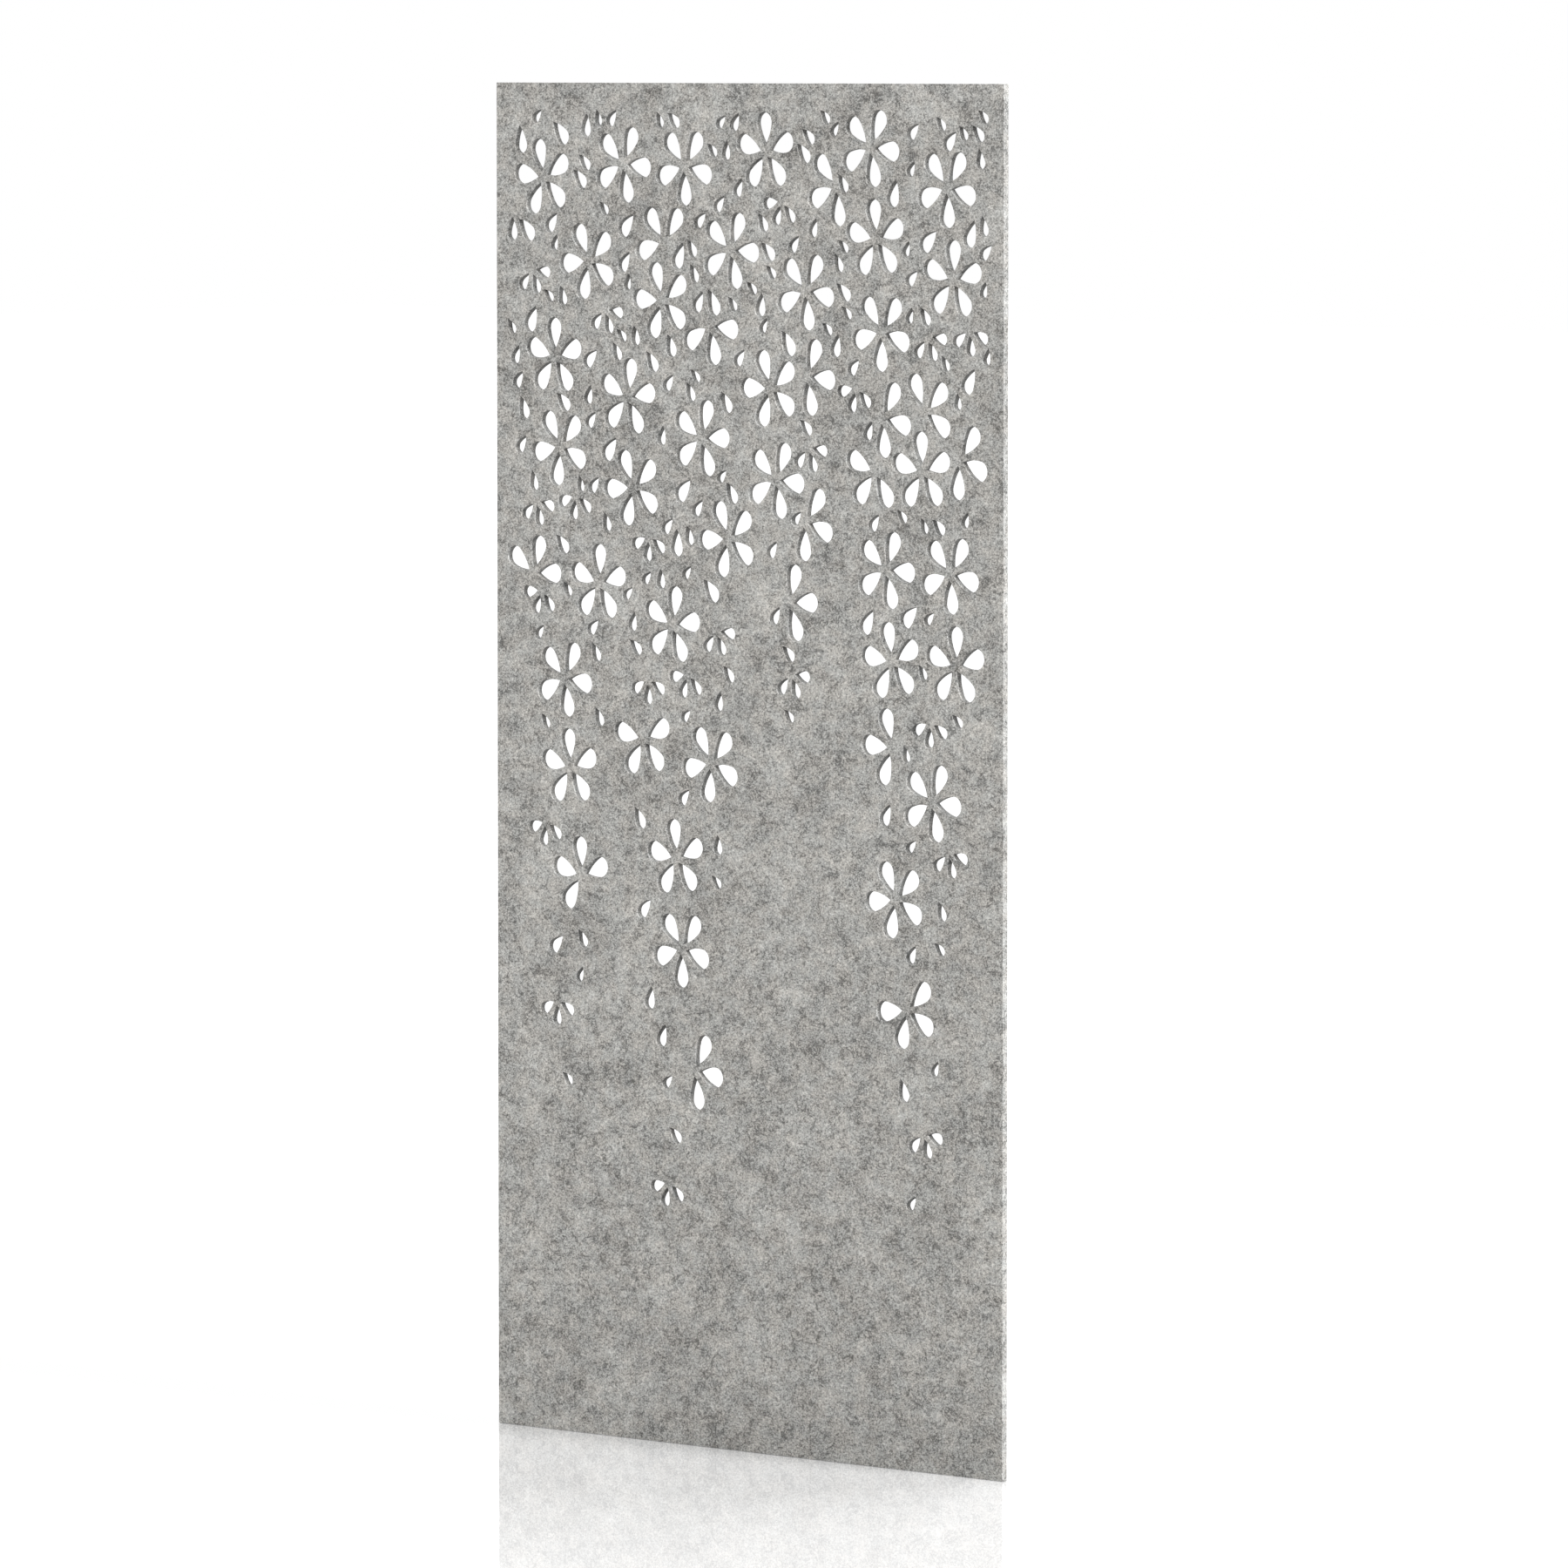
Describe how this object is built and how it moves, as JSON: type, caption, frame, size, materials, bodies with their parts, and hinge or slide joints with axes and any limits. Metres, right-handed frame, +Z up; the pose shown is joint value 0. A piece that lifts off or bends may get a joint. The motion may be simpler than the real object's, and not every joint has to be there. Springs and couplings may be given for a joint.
{
  "type": "hanging room divider panel",
  "caption": "Hanging room divider: a rigid grey felt board pierced by a curtain of falling petals, on a hidden rail with threaded sockets in its top edge.",
  "frame": {"origin": "middle of the board's top edge, midway between the two hanging sockets, in the middle of the board's thickness", "axes": "+Z up, the front face looks along -Y, +X to the right seen from the front"},
  "size_m": [1.2, 0.012, 2.4],
  "materials": {
    "felt": "mottled grey pressed felt, matt and fibrous",
    "aluminium": "mill-finish flat bar",
    "socket_steel": "turned and zinc plated",
    "pin_steel": "ground and bright"
  },
  "bodies": {
    "root": {"felt_board": "felt", "hanger_rail": "aluminium", "left_socket": "socket_steel", "right_socket": "socket_steel", "left_socket_pin": "pin_steel", "right_socket_pin": "pin_steel", "rail_pin_1": "pin_steel", "rail_pin_2": "pin_steel", "rail_pin_3": "pin_steel", "rail_pin_4": "pin_steel", "rail_pin_5": "pin_steel", "rail_pin_6": "pin_steel"}
  },
  "joints": []
}
